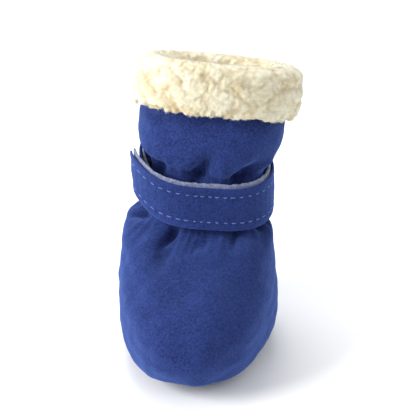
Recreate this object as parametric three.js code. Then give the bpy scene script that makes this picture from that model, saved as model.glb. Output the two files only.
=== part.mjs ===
// A soft winter boot for a small dog: a hollow suede upper pinched at the ankle, a turned-down fleece cuff,
// an ankle strap lined with its own fastening tape, a thin sole and an insole.
// Millimetres, +Z up, toe towards -Y. The origin is on the floor under the middle of the sole.
import * as THREE from 'three';

// Foot of the upper
const FOOT_LENGTH = 76;
const FOOT_WIDTH = 53;
const ANKLE_HEIGHT = 42.5;
const UPPER_WALL = 2;

// Waist under the strap, and the slack shaft that leans back above it
const WAIST_WIDTH = 37;
const WAIST_DEPTH = 32;
const SHAFT_WIDTH = 48.5;
const SHAFT_DEPTH = 34;
const SHAFT_HEIGHT = 42.5;
const SHAFT_SETBACK = 18.5;
const SHAFT_SWAY = 3.2;
const COLLAR_TILT = 25;
const COLLAR_ROLL = 3;

// Gathers that the strap pulls into the upper
const FOLD_DEPTH = 3.4;

// Sole and insole
const SOLE_THICKNESS = 2.2;
const SOLE_MARGIN = 0.5;
const SOLE_EDGE = 0.8;
const TOE_SPRING = 2.8;
const INSOLE_THICKNESS = 2;

// Strap
const STRAP_WIDTH = 14.3;
const STRAP_FACE = 0.8;
const STRAP_BACKING = 0.9;
const STRAP_BACKING_RISE = 0.8;
const STRAP_EASE = 0.4;
const STRAP_SLACK = 1;
const STRAP_OVERLAP = 11;
const STRAP_TIP_LIFT = 0.5;
const STRAP_TIP_RISE = 1;
const STRAP_START_CUT = 2.6;
const STRAP_ROLL = 8;

// Fleece cuff
const CUFF_DROP = 12;
const CUFF_FACING = 14;
const CUFF_PILE = 4.2;
const CUFF_LINING = 4.4;
const CUFF_CROWN = 4.6;
const CURL_RELIEF = 1.3;
const CURL_SIZE = 7.5;

// Clearance between neighbouring pieces
const GAP = 0.3;

const FULL_TURN = 2 * Math.PI;
const AROUND = 56;
const CUFF_AROUND = 80;

const SEAT = SOLE_THICKNESS + GAP;
const LAYER = STRAP_BACKING + 1.3 * GAP + STRAP_FACE;
const STRAP_TIP = THREE.MathUtils.degToRad(-77);
const STRAP_SLACK_AT = THREE.MathUtils.degToRad(-45);

// Sections of the foot, from the seam at the sole to the ankle. height is a share of the ankle's height over the
// seam, centre and reach of the foot's length, width of its width and sway of the shaft's sway. ball widens the toe
// end, square is the section's exponent, and tilt lifts the front end, in degrees.
const FOOT_SECTIONS = [
  { height: 0, centre: 0.011, reach: 0.748, width: 0.76, sway: 0, ball: -0.05, square: 2.1, tilt: 0 },
  { height: 0.045, centre: -0.009, reach: 0.915, width: 0.89, sway: 0, ball: -0.06, square: 2.05, tilt: 0 },
  { height: 0.13, centre: -0.016, reach: 0.968, width: 0.96, sway: 0, ball: -0.08, square: 2.02, tilt: 0 },
  { height: 0.28, centre: -0.021, reach: 0.99, width: 0.995, sway: 0, ball: -0.08, square: 2.05, tilt: 0 },
  { height: 0.45, centre: -0.013, reach: 0.966, width: 1, sway: 0, ball: -0.06, square: 2.1, tilt: 0 },
  { height: 0.62, centre: 0.02, reach: 0.882, width: 0.985, sway: -0.1, ball: -0.03, square: 2.15, tilt: 0 },
  { height: 0.77, centre: 0.081, reach: 0.754, width: 0.965, sway: -0.25, ball: -0.02, square: 2.1, tilt: 0 },
  { height: 0.9, centre: 0.16, reach: 0.596, width: 0.955, sway: -0.4, ball: -0.02, square: 2.1, tilt: 0 },
  { height: 1, centre: 0.237, reach: 0.474, width: 0.78, sway: 0.1, ball: 0, square: 2.2, tilt: -2 },
];

// Sections of the shaft. rise is a share of the shaft's height, back of its setback, sway of its sway to the left,
// width and depth of the waist's or the shaft's, and tilt and roll of the collar's.
const WAIST_SECTIONS = [{ rise: 0.175, back: 0.13, sway: 0.3, width: 1, depth: 1, tilt: 0, roll: 2.6 }];
const SHAFT_SECTIONS = [
  { rise: 0.385, back: 0.31, sway: 0.12, width: 0.815, depth: 0.9, tilt: 0.12, roll: 2.5 },
  { rise: 0.49, back: 0.435, sway: 0.2, width: 0.98, depth: 0.96, tilt: 0.36, roll: 1.8 },
  { rise: 0.64, back: 0.61, sway: 0.45, width: 1.01, depth: 0.98, tilt: 0.72, roll: 1.3 },
  { rise: 0.83, back: 0.82, sway: 0.8, width: 0.995, depth: 0.99, tilt: 0.92, roll: 1 },
  { rise: 1, back: 1, sway: 1, width: 0.99, depth: 1, tilt: 1, roll: 1 },
];

// Gathers, as soft troughs, and the slack cloth that hangs over the strap's top edge, as troughs below zero. around
// is in degrees from the toe, positive to the shoe's left. row is where the trough is deepest, in rows of the
// sections over the waist's. deep is a share of the fold depth, wide is in degrees, long in rows, and lean is how
// many degrees the trough turns over a row.
const FOLDS = [
  { around: -66, row: 1.5, deep: -0.4, wide: 20, long: 0.35, lean: 0 },
  { around: 84, row: 1.5, deep: -0.35, wide: 22, long: 0.35, lean: 0 },
  { around: -4, row: 1.3, deep: 1.15, wide: 12, long: 0.85, lean: 12 },
  { around: 54, row: 1.4, deep: 1.1, wide: 12, long: 1, lean: 11 },
  { around: -56, row: 1.05, deep: 0.5, wide: 9, long: 0.3, lean: -4 },
  { around: -118, row: 1.5, deep: 0.35, wide: 11, long: 0.8, lean: 0 },
  { around: 103, row: 1.4, deep: 0.8, wide: 11, long: 0.7, lean: 6 },
  { around: 146, row: 1.5, deep: 0.8, wide: 12, long: 0.8, lean: -5 },
  { around: -152, row: 1.5, deep: 0.9, wide: 12, long: 0.8, lean: 5 },
  { around: 180, row: 2.2, deep: 0.6, wide: 45, long: 0.4, lean: 0 },
  { around: -84, row: -1.3, deep: 0.9, wide: 11, long: 0.65, lean: 0 },
  { around: -30, row: -1.5, deep: 0.95, wide: 9, long: 0.9, lean: -5 },
  { around: 38, row: -1.2, deep: 0.55, wide: 10, long: 0.45, lean: 0 },
  { around: 76, row: -1.5, deep: 0.6, wide: 11, long: 0.65, lean: 4 },
  { around: 118, row: -1.5, deep: 0.6, wide: 11, long: 0.65, lean: 0 },
  { around: -124, row: -1.5, deep: 0.6, wide: 11, long: 0.65, lean: 0 },
  { around: 160, row: -1.4, deep: 0.6, wide: 11, long: 0.6, lean: 0 },
  { around: -162, row: -1.4, deep: 0.6, wide: 11, long: 0.6, lean: 0 },
];

// The sections in millimetres, seam first.
const SECTIONS = [
  ...FOOT_SECTIONS.map((row) => ({
    x: row.sway * SHAFT_SWAY,
    y: row.centre * FOOT_LENGTH,
    z: SEAT + row.height * (ANKLE_HEIGHT - SEAT),
    halfWidth: (row.width * FOOT_WIDTH) / 2,
    halfDepth: (row.reach * FOOT_LENGTH) / 2,
    ball: row.ball,
    square: row.square,
    tilt: THREE.MathUtils.degToRad(row.tilt),
    roll: 0,
  })),
  ...shaftSections(WAIST_SECTIONS, WAIST_WIDTH, WAIST_DEPTH),
  ...shaftSections(SHAFT_SECTIONS, SHAFT_WIDTH, SHAFT_DEPTH),
];
const COLUMNS = Object.keys(SECTIONS[0]);
const WAIST_ROW = FOOT_SECTIONS.length;
const RIM_ROW = SECTIONS.length - 1;

function shaftSections(rows, width, depth) {
  const ankle = FOOT_SECTIONS[FOOT_SECTIONS.length - 1];
  return rows.map((row) => ({
    x: row.sway * SHAFT_SWAY,
    y: ankle.centre * FOOT_LENGTH + row.back * SHAFT_SETBACK,
    z: ANKLE_HEIGHT + row.rise * SHAFT_HEIGHT,
    halfWidth: (row.width * width) / 2,
    halfDepth: (row.depth * depth) / 2,
    ball: 0,
    square: 2.2,
    tilt: THREE.MathUtils.degToRad(row.tilt * COLLAR_TILT),
    roll: THREE.MathUtils.degToRad(row.roll * COLLAR_ROLL),
  }));
}

// The section at a row, whole or between two, by a smooth curve through each column of the table.
function sectionAt(row) {
  const first = THREE.MathUtils.clamp(Math.floor(row), 0, RIM_ROW - 1);
  const t = THREE.MathUtils.clamp(row - first, 0, 1);
  const near = [first - 1, first, first + 1, first + 2].map((k) =>
    SECTIONS[THREE.MathUtils.clamp(k, 0, RIM_ROW)]);
  const section = {};
  for (const column of COLUMNS) {
    const [a, b, c, d] = near.map((s) => s[column]);
    const bend = (2 * a - 5 * b + 4 * c - d) * t * t + (3 * b - a - 3 * c + d) * t * t * t;
    section[column] = b + 0.5 * ((c - a) * t + bend);
  }
  return section;
}

// How far the gathers push the wall in, in millimetres.
function foldDepth(angle, row) {
  let depth = 0;
  for (const fold of FOLDS) {
    const over = row - WAIST_ROW - fold.row;
    const middle = THREE.MathUtils.degToRad(fold.around + fold.lean * over);
    const turn = THREE.MathUtils.euclideanModulo(angle - middle + Math.PI, FULL_TURN) - Math.PI;
    const across = turn / THREE.MathUtils.degToRad(fold.wide);
    depth += FOLD_DEPTH * fold.deep * Math.exp(-across * across - (over / fold.long) ** 2);
  }
  return depth;
}

// The toe of the sole curls off the floor in front of the forefoot's flat.
function toeLift(y) {
  const start = -0.2 * FOOT_LENGTH;
  const share = Math.max(0, (start - y) / (0.5 * FOOT_LENGTH + start));
  return TOE_SPRING * share * share;
}

// A point of the upper's outer face. angle is 0 at the toe and grows towards +X.
function upperPoint(angle, row, folded = true) {
  const s = sectionAt(row);
  const radius = (Math.abs(Math.sin(angle) / s.halfWidth) ** s.square
    + Math.abs(Math.cos(angle) / s.halfDepth) ** s.square) ** (-1 / s.square);
  const pinched = folded ? radius - foldDepth(angle, row) : radius;
  const side = pinched * Math.sin(angle) * (1 + s.ball * Math.cos(angle));
  const back = -pinched * Math.cos(angle);
  const x = s.x + side * Math.cos(s.roll);
  const y = s.y + back * Math.cos(s.tilt);
  const z = s.z - back * Math.sin(s.tilt) - side * Math.sin(s.roll);
  const fade = Math.max(0, 1 - (z - SEAT) / (0.6 * (ANKLE_HEIGHT - SEAT)));
  return new THREE.Vector3(x, y, z + toeLift(y) * fade * fade);
}

// The upper's outward direction. Towards the rim it turns into the section's own plane, so that the rim is flat.
function upperNormal(angle, row, folded = true) {
  const step = 1e-3;
  const above = Math.min(RIM_ROW, row + 10 * step);
  const below = Math.max(0, row - 10 * step);
  const sideways = upperPoint(angle + step, row, folded).sub(upperPoint(angle - step, row, folded));
  const upwards = upperPoint(angle, above, folded).sub(upperPoint(angle, below, folded));
  const flat = sideways.clone().cross(sectionAxis(sectionAt(row))).normalize();
  const full = sideways.clone().cross(upwards).normalize();
  return flat.lerp(full, THREE.MathUtils.smoothstep(RIM_ROW - row, 0, 0.9)).normalize();
}

// The axis square to a section's plane.
function sectionAxis(s) {
  const side = new THREE.Vector3(Math.cos(s.roll), 0, -Math.sin(s.roll));
  const back = new THREE.Vector3(0, Math.cos(s.tilt), -Math.sin(s.tilt));
  return side.cross(back).normalize();
}

function offsetPoint(angle, row, out, folded = true) {
  return upperPoint(angle, row, folded).addScaledVector(upperNormal(angle, row, folded), out);
}

// The row where the smooth upper crosses a height over a plane, at one angle.
function rowAtPlane(angle, plane, height, low) {
  let high = RIM_ROW;
  for (let k = 0; k < 24; k++) {
    const middle = (low + high) / 2;
    if (plane.distanceToPoint(upperPoint(angle, middle, false)) < height) low = middle;
    else high = middle;
  }
  return (low + high) / 2;
}

function angles(count = AROUND) {
  return Array.from({ length: count }, (_, k) => (k / count) * FULL_TURN);
}

// A closed skin over rings of equally many points, with each of its quads split along the shorter diagonal. A loop
// joins its last ring to its first, and otherwise each end is closed with a fan round the ring's middle.
function skin(rings, loop) {
  const count = rings[0].length;
  const points = rings.flat();
  const index = [];
  const at = (ring, k) => (ring % rings.length) * count + (k % count);
  const spans = loop ? rings.length : rings.length - 1;
  for (let ring = 0; ring < spans; ring++) {
    for (let k = 0; k < count; k++) {
      const [a, b, c, d] = [at(ring, k), at(ring, k + 1), at(ring + 1, k + 1), at(ring + 1, k)];
      const rising = points[a].distanceTo(points[c]) < points[b].distanceTo(points[d]);
      if (rising) index.push(a, b, c, a, c, d);
      else index.push(a, b, d, b, c, d);
    }
  }
  if (!loop) {
    const last = rings.length - 1;
    for (const [ring, turned] of [[0, true], [last, false]]) {
      const middle = new THREE.Vector3();
      rings[ring].forEach((p) => middle.addScaledVector(p, 1 / count));
      points.push(middle);
      for (let k = 0; k < count; k++) {
        const pair = turned ? [at(ring, k + 1), at(ring, k)] : [at(ring, k), at(ring, k + 1)];
        index.push(...pair, points.length - 1);
      }
    }
  }
  const geometry = new THREE.BufferGeometry().setFromPoints(points);
  geometry.setIndex(index);
  geometry.computeVertexNormals();
  return geometry;
}

// The upper: outer face from seam to rim, then the inner face back down, open at both ends.
const OUTER_RINGS = [0, 0.5, 1, 1.5, 2.1, 3, 3.8, 4.6, 5.3, 5.9, 6.4, 6.8, 7.2, 7.6, 8, 8.5, 9, 9.5, 10, 10.25, 10.5,
  10.75, 11, 11.5, 12.2, 13, 14];
const INNER_RINGS = [14, 12.8, 11.8, 11.1, 10.6, 10.1, 9.5, 8.8, 8.1, 7.5, 6.9, 6.2, 5.3, 4.2, 3, 1.9, 1, 0.4, 0];

function upper() {
  const outside = OUTER_RINGS.map((row) => angles().map((a) => upperPoint(a, row)));
  const inside = INNER_RINGS.map((row) => angles().map((a) => offsetPoint(a, row, -UPPER_WALL)));
  return skin([...outside, ...inside], true);
}

// The sole and the insole: rings from the middle of the underside out to the edge and back over the top. share
// scales the ring about the origin, inset is a share of the edge's rounding and height of the thickness.
const SOLE_RINGS = [
  { share: 0.45, inset: 0, height: 0 },
  { share: 0.78, inset: 0, height: 0 },
  { share: 1, inset: 1, height: 0 },
  { share: 1, inset: 0, height: 0.45 },
  { share: 1, inset: 0, height: 0.8 },
  { share: 1, inset: 0.5, height: 1 },
  { share: 0.7, inset: 0, height: 1 },
];
const INSOLE_RINGS = [
  { share: 0.6, inset: 0, height: 0 },
  { share: 1, inset: 0, height: 0 },
  { share: 1, inset: 0, height: 1 },
  { share: 0.6, inset: 0, height: 1 },
];

function plate(rings, outline, edge, base, thickness, margin) {
  return skin(rings.map((ring) => angles().map((a) => {
    const rim = outline(a);
    const out = new THREE.Vector3(rim.x, rim.y, 0).normalize();
    const x = (rim.x + (margin - ring.inset * edge) * out.x) * ring.share;
    const y = (rim.y + (margin - ring.inset * edge) * out.y) * ring.share;
    return new THREE.Vector3(x, y, base + ring.height * thickness + toeLift(y));
  })), false);
}

function outsole() {
  return plate(SOLE_RINGS, (a) => upperPoint(a, 0), SOLE_EDGE, 0, SOLE_THICKNESS, SOLE_MARGIN);
}

function insole() {
  return plate(INSOLE_RINGS, (a) => offsetPoint(a, 0, -UPPER_WALL), 0, SEAT, INSOLE_THICKNESS, -1.5 * GAP);
}

// The strap's plane, and the line across the strap's inner face at one angle: it stands on the smooth upper at its
// lower edge, eases off it at its upper edge, most of all at the front right, and is pushed out where the upper
// would touch it in between.
const STRAP_PLACE = sectionAt(WAIST_ROW + 0.27);
const STRAP_AXIS = new THREE.Vector3(0, 0, 1)
  .applyAxisAngle(new THREE.Vector3(0, 1, 0), THREE.MathUtils.degToRad(STRAP_ROLL));
const STRAP_PLANE = new THREE.Plane().setFromNormalAndCoplanarPoint(
  STRAP_AXIS, new THREE.Vector3(0, STRAP_PLACE.y, STRAP_PLACE.z));

function strapLine(angle) {
  const ends = [-0.5, 0.5].map((share) => rowAtPlane(angle, STRAP_PLANE, share * STRAP_WIDTH, WAIST_ROW - 4));
  const out = upperNormal(angle, (ends[0] + ends[1]) / 2, false).projectOnPlane(STRAP_AXIS).normalize();
  const ease = STRAP_EASE + STRAP_SLACK * Math.max(0, Math.cos(angle - STRAP_SLACK_AT)) ** 8;
  const lower = upperPoint(angle, ends[0], false).addScaledVector(out, 1.5 * GAP);
  const higher = upperPoint(angle, ends[1], false).addScaledVector(out, 1.5 * GAP + ease);
  let push = 0;
  for (const share of [0.15, 0.3, 0.45, 0.6, 0.75, 0.9]) {
    const wall = upperPoint(angle, THREE.MathUtils.lerp(ends[0], ends[1], share), false);
    const height = STRAP_PLANE.distanceToPoint(wall) / STRAP_WIDTH + 0.5;
    const line = lower.clone().lerp(higher, THREE.MathUtils.clamp(height, 0, 1));
    push = Math.max(push, wall.sub(line).dot(out) + 1.5 * GAP);
  }
  const middle = lower.clone().lerp(higher, 0.5).addScaledVector(out, push);
  const up = higher.sub(lower).normalize();
  return { middle, up, out };
}

// A layer of the strap between two distances from its inner face. It starts under the overlap at the shoe's right,
// with its top corner cut off, runs round the heel, the left side and the instep, climbs over its own start and
// ends in a lifted tip.
function strapLayer(near, far, rise) {
  const girth = (Math.PI * (WAIST_WIDTH + WAIST_DEPTH)) / 2;
  const overlap = (STRAP_OVERLAP / girth) * FULL_TURN;
  const steps = 66;
  const rings = [];
  for (let k = 0; k <= steps; k++) {
    const toTip = (1 - k / steps) * (FULL_TURN + overlap);
    const climb = 1 - THREE.MathUtils.smoothstep(toTip, 1.1 * overlap, 2.8 * overlap);
    const tip = 1 - THREE.MathUtils.smoothstep(toTip, 0, 0.5 * overlap);
    const lift = climb * (LAYER + 2 * GAP) + tip * STRAP_TIP_LIFT;
    const cut = STRAP_START_CUT
      * THREE.MathUtils.smoothstep(toTip, FULL_TURN - 0.1 * overlap, FULL_TURN + 0.5 * overlap);
    const { middle, up, out } = strapLine(STRAP_TIP + toTip);
    middle.addScaledVector(up, STRAP_TIP_RISE * (1 - THREE.MathUtils.smoothstep(toTip, 0, 1.1 * overlap)));
    const lower = middle.clone().addScaledVector(up, -0.5 * STRAP_WIDTH);
    const top = middle.clone().addScaledVector(up, 0.5 * STRAP_WIDTH + rise - cut);
    rings.push([
      lower.clone().addScaledVector(out, lift + near),
      lower.clone().addScaledVector(out, lift + far),
      top.clone().addScaledVector(out, lift + far),
      top.clone().addScaledVector(out, lift + near),
    ]);
  }
  return skin(rings, false);
}

// The cuff folds over the rim: a thick outer leg, a rounded crown and a thinner facing inside. down is measured
// from the rim, out from the upper's outer face, and curl is the share of the curls' relief.
const COLLAR = sectionAt(RIM_ROW);
const COLLAR_AXIS = sectionAxis(COLLAR);
const COLLAR_PLANE = new THREE.Plane().setFromNormalAndCoplanarPoint(
  COLLAR_AXIS, new THREE.Vector3(COLLAR.x, COLLAR.y, COLLAR.z));

function cuffProfile() {
  const outer = GAP + CUFF_PILE;
  const seat = -UPPER_WALL - 2 * GAP;
  const inner = seat - CUFF_LINING;
  const rows = [
    { down: CUFF_DROP, out: 1.2 * GAP, curl: 0 },
    { down: CUFF_DROP + 0.8, out: GAP + 0.45 * CUFF_PILE, curl: 0.5 },
  ];
  for (const share of [0.95, 0.82, 0.68, 0.54, 0.4, 0.27, 0.13]) {
    rows.push({ down: share * CUFF_DROP, out: outer - (share - 0.45) ** 2 * CUFF_PILE, curl: 1 });
  }
  for (let turn = 0; turn < 8; turn++) {
    const bend = (turn / 7) * Math.PI;
    const out = (outer + inner) / 2 + 0.96 * ((outer - inner) / 2) * Math.cos(bend);
    rows.push({ down: -CUFF_CROWN * Math.sin(bend), out, curl: 1 });
  }
  for (const share of [0.3, 0.62, 0.94]) rows.push({ down: share * CUFF_FACING, out: inner, curl: 0.6 });
  for (const share of [1, 0.75, 0.5, 0.25]) rows.push({ down: share * CUFF_FACING, out: seat, curl: 0 });
  rows.push({ down: -GAP, out: seat, curl: 0 });
  rows.push({ down: -GAP, out: 1.2 * GAP, curl: 0 });
  for (const share of [0.35, 0.7]) rows.push({ down: share * CUFF_DROP, out: 1.2 * GAP, curl: 0 });
  return rows;
}

function cuffPoint(angle, down, out) {
  const row = down > 0 ? rowAtPlane(angle, COLLAR_PLANE, -down, WAIST_ROW) : RIM_ROW;
  return offsetPoint(angle, row, out, out < 0).addScaledVector(COLLAR_AXIS, Math.max(0, -down));
}

function cuff() {
  const rows = cuffProfile();
  const girth = (Math.PI * (SHAFT_WIDTH + SHAFT_DEPTH)) / 2;
  const curls = 2 * Math.round(girth / (2 * CURL_SIZE));
  let travelled = 0;
  const rings = rows.map((row, k) => {
    const last = rows[Math.max(0, k - 1)];
    travelled += Math.hypot(row.down - last.down, row.out - last.out);
    const across = (Math.sqrt(0.75) * FULL_TURN * travelled) / CURL_SIZE;
    const sense = row.out > -UPPER_WALL / 2 ? 1 : -1;
    return angles(CUFF_AROUND).map((a) => {
      const wander = 1.1 * Math.sin(3 * a + 0.4 * k) + 0.7 * Math.sin(7 * a - 0.7 * k);
      const curl = (Math.cos(curls * a + wander) + Math.cos((curls / 2) * a + across)
        + Math.cos((curls / 2) * a - across + wander)) / 3;
      return cuffPoint(a, row.down, row.out + sense * row.curl * CURL_RELIEF * 0.7 * curl);
    });
  });
  return skin(rings, true);
}

function piece(name, geometry, colour, roughness) {
  const material = new THREE.MeshStandardMaterial({ color: colour, roughness, metalness: 0 });
  const mesh = new THREE.Mesh(geometry, material);
  mesh.name = name;
  return mesh;
}

const BLUE_SUEDE = 0x2f479c;
const CREAM_FLEECE = 0xeae0c0;
const GREY_TAPE = 0xb9bccb;
const DARK_SOLE = 0x2a2a2c;
const GREY_FELT = 0x5d574a;

const boot = new THREE.Group();
boot.add(
  piece('outsole', outsole(), DARK_SOLE, 0.8),
  piece('insole', insole(), GREY_FELT, 1),
  piece('upper', upper(), BLUE_SUEDE, 0.95),
  piece('cuff', cuff(), CREAM_FLEECE, 1),
  piece('strap_backing', strapLayer(0, STRAP_BACKING, STRAP_BACKING_RISE), GREY_TAPE, 0.9),
  piece('strap_face', strapLayer(LAYER - STRAP_FACE, LAYER, 0), BLUE_SUEDE, 0.95),
);

export default boot;
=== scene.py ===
"""A soft winter boot for a small dog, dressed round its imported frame.

Everything is in metres in the frame's own axes: +Z is up, the toe points to -Y, and the origin is on the
floor under the middle of the sole. Every surface is a function of an angle round the boot, 0 at the toe and
growing towards +X, and of a second parameter along it, worked out as whole arrays.
"""

import math

import bpy
import numpy as np
from bpy.props import FloatProperty, FloatVectorProperty, IntProperty, PointerProperty
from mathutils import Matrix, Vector


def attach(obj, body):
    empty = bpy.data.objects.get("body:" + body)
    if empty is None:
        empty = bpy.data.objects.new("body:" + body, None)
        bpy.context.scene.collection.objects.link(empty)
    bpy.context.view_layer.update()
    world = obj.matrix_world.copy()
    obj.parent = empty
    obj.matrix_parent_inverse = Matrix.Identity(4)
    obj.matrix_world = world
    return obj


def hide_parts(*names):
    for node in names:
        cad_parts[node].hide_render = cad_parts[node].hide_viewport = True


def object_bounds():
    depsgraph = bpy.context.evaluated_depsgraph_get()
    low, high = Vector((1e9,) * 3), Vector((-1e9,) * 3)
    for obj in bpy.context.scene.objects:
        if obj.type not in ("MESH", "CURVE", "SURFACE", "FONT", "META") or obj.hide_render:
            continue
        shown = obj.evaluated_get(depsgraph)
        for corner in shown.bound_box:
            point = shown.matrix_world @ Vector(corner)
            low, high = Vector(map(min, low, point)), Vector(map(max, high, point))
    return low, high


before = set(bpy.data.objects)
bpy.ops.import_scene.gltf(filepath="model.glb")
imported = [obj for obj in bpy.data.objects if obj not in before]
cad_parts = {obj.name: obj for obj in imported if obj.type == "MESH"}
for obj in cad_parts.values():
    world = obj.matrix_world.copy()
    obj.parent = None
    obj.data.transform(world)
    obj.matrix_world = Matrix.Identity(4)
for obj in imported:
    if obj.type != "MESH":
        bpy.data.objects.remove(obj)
CAD_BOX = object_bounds()

bl_info = {
    "name": "Dog boot",
    "version": (1, 0, 0),
    "blender": (4, 5, 0),
    "location": "View3D > Sidebar > Dog Boot",
    "description": "Builds a suede dog boot with a fleece cuff and an ankle strap round its packed frame",
    "category": "Add Mesh",
}

FULL_TURN = 2 * math.pi
MM = 0.001

# How finely the pieces are drawn: rows up a skin, points round it, and steps along the strap.
UPPER_ROWS = 236
UPPER_INNER_ROWS = 32
LINING_ROWS = 110
LINING_POINTS = 210
CUFF_ROWS = 132
STRAP_STEPS = 420
STRAP_POINTS = 44
TAPE_POINTS = 36
SOLE_POINTS = 192
INSOLE_POINTS = 160
HAIRS = 7400

# Sections of the foot, from the seam at the sole to the ankle. height is a share of the ankle's height
# over the seam, centre and reach of the foot's length, width of its width and sway of the shaft's sway.
# ball widens the toe end, square is the section's exponent, and tilt lifts the front end, in degrees.
FOOT_SECTIONS = (
    # height, centre, reach, width, sway, ball, square, tilt
    (0, 0.011, 0.748, 0.76, 0, -0.05, 2.1, 0),
    (0.045, -0.009, 0.915, 0.89, 0, -0.06, 2.05, 0),
    (0.13, -0.016, 0.968, 0.96, 0, -0.08, 2.02, 0),
    (0.28, -0.021, 0.99, 0.995, 0, -0.08, 2.05, 0),
    (0.45, -0.013, 0.966, 1, 0, -0.06, 2.1, 0),
    (0.62, 0.02, 0.882, 0.985, -0.1, -0.03, 2.15, 0),
    (0.77, 0.081, 0.754, 0.965, -0.25, -0.02, 2.1, 0),
    (0.9, 0.16, 0.596, 0.955, -0.4, -0.02, 2.1, 0),
    (1, 0.237, 0.474, 0.78, 0.1, 0, 2.2, -2),
)

# Sections of the shaft. rise is a share of the shaft's height, back of its setback, sway of its sway to
# the left, width and depth of the waist's or the shaft's, and tilt and roll of the collar's.
WAIST_SECTION = (0.175, 0.13, 0.3, 1, 1, 0, 2.6)
SHAFT_SECTIONS = (
    # rise, back, sway, width, depth, tilt, roll
    (0.385, 0.31, 0.12, 0.815, 0.9, 0.12, 2.5),
    (0.49, 0.435, 0.2, 0.98, 0.96, 0.36, 1.8),
    (0.64, 0.61, 0.45, 1.01, 0.98, 0.72, 1.3),
    (0.83, 0.82, 0.8, 0.995, 0.99, 0.92, 1),
    (1, 1, 1, 0.99, 1, 1, 1),
)
SHAFT_SQUARE = 2.2
WAIST_ROW = len(FOOT_SECTIONS)
RIM_ROW = WAIST_ROW + len(SHAFT_SECTIONS)

# Gathers that the strap pulls into the upper, as soft troughs, and the slack cloth over the strap's top
# edge, as troughs below zero. around is in degrees from the toe, row is where the trough is deepest, in
# rows over the waist's, deep is a share of the fold depth, wide is in degrees, long in rows, and lean is
# how many degrees the trough turns over a row.
FOLDS = (
    # around, row, deep, wide, long, lean
    (-66, 1.5, -0.4, 20, 0.35, 0),
    (84, 1.5, -0.35, 22, 0.35, 0),
    (-4, 1.3, 1.15, 12, 0.85, 12),
    (54, 1.4, 1.1, 12, 1, 11),
    (-56, 1.05, 0.5, 9, 0.3, -4),
    (-118, 1.5, 0.35, 11, 0.8, 0),
    (103, 1.4, 0.8, 11, 0.7, 6),
    (146, 1.5, 0.8, 12, 0.8, -5),
    (-152, 1.5, 0.9, 12, 0.8, 5),
    (180, 2.2, 0.6, 45, 0.4, 0),
    (-84, -1.3, 0.9, 11, 0.65, 0),
    (-30, -1.5, 0.95, 9, 0.9, -5),
    (38, -1.2, 0.55, 10, 0.45, 0),
    (76, -1.5, 0.6, 11, 0.65, 4),
    (118, -1.5, 0.6, 11, 0.65, 0),
    (-124, -1.5, 0.6, 11, 0.65, 0),
    (160, -1.4, 0.6, 11, 0.6, 0),
    (-162, -1.4, 0.6, 11, 0.6, 0),
)

# Creases of the suede, each a soft trough or ridge from one place to another. The angles are in degrees
# and the rows over the waist's. deep is in millimetres, below zero for a ridge, and wide is its half
# width in millimetres.
CREASES = (
    # from_angle, from_row, to_angle, to_row, deep, wide
    (-8, 0.5, -5, 1.5, 1.3, 2.2),
    (-4, 1.5, 10, 2.3, 0.6, 3.0),
    (-24, 0.9, -22, 1.9, -0.6, 3.2),
    (22, 0.9, 28, 1.9, -0.7, 3.4),
    (40, 0.6, 58, 1.4, 1.2, 2.4),
    (54, 1.3, 84, 2.2, 1.0, 2.6),
    (46, 1.8, 74, 2.3, -0.5, 2.6),
    (-58, 0.5, -54, 1.2, 1.2, 1.8),
    (-40, 0.7, -38, 1.8, -0.4, 2.8),
    (-58, -0.6, -94, -1.8, 1.7, 1.7),
    (-25, -0.5, -34, -1.8, 2.4, 1.5),
    (-32, -1.5, -24, -2.4, 0.9, 2.3),
    (-46, -0.7, -46, -2.0, -0.9, 2.3),
    (-14, -0.7, -12, -1.9, -0.5, 2.6),
    (47, -0.6, 38, -1.6, 1.5, 1.6),
    (72, -0.7, 80, -1.8, 1.3, 1.8),
    (8, -0.7, 4, -1.5, 0.5, 1.6),
    (26, -0.8, 22, -2.0, -0.4, 2.6),
    (-24, -2.6, -2, -3.4, 0.5, 4.0),
    (30, -3.6, 52, -2.8, 0.4, 4.5),
    (-70, -3.2, -52, -4.4, 0.45, 4.5),
    (98, -0.6, 92, -1.9, 1.2, 1.7),
    (112, -0.6, 116, -2.0, -0.6, 2.0),
    (136, -0.6, 132, -1.9, 1.4, 1.7),
    (158, -0.6, 160, -1.8, 1.1, 1.8),
    (180, -0.6, 176, -1.9, -0.5, 2.2),
    (-160, -0.6, -164, -1.9, 1.3, 1.7),
    (-140, -0.6, -136, -2.0, -0.5, 2.2),
    (-118, -0.6, -122, -1.9, 1.4, 1.7),
    (100, 0.6, 110, 1.8, 1.6, 1.7),
    (126, 0.6, 122, 2.0, -0.6, 2.2),
    (140, 0.6, 148, 1.8, 1.5, 1.7),
    (176, 0.6, 170, 1.9, 1.3, 1.8),
    (-150, 0.6, -156, 1.9, 1.6, 1.7),
    (-130, 0.8, -126, 2.0, -0.6, 2.2),
    (-104, 0.6, -108, 1.9, 1.5, 1.7),
)


def spline(table, place):
    """A smooth curve through the rows of a table: each column between two rows is the cubic that meets
    both, with the slope at a row being half the difference of its neighbours."""
    last = len(table) - 1
    first = np.clip(np.floor(place).astype(int), 0, last - 1)
    t = np.clip(place - first, 0, 1)[..., None]
    a, b, c, d = (table[np.clip(first + k, 0, last)] for k in (-1, 0, 1, 2))
    bend = (2 * a - 5 * b + 4 * c - d) * t**2 + (3 * b - a - 3 * c + d) * t**3
    return b + 0.5 * ((c - a) * t + bend)


def smoothstep(value, low, high):
    """0 below low, 1 above high and an even s-curve between."""
    t = np.clip((value - low) / (high - low), 0, 1)
    return t * t * (3 - 2 * t)


def unit(vectors):
    return vectors / np.maximum(np.linalg.norm(vectors, axis=-1, keepdims=True), 1e-12)


def angles(count):
    return np.arange(count) / count * FULL_TURN


def sizes():
    return bpy.context.scene.dog_boot_sizes


def finishes():
    return bpy.context.scene.dog_boot_finishes


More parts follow.
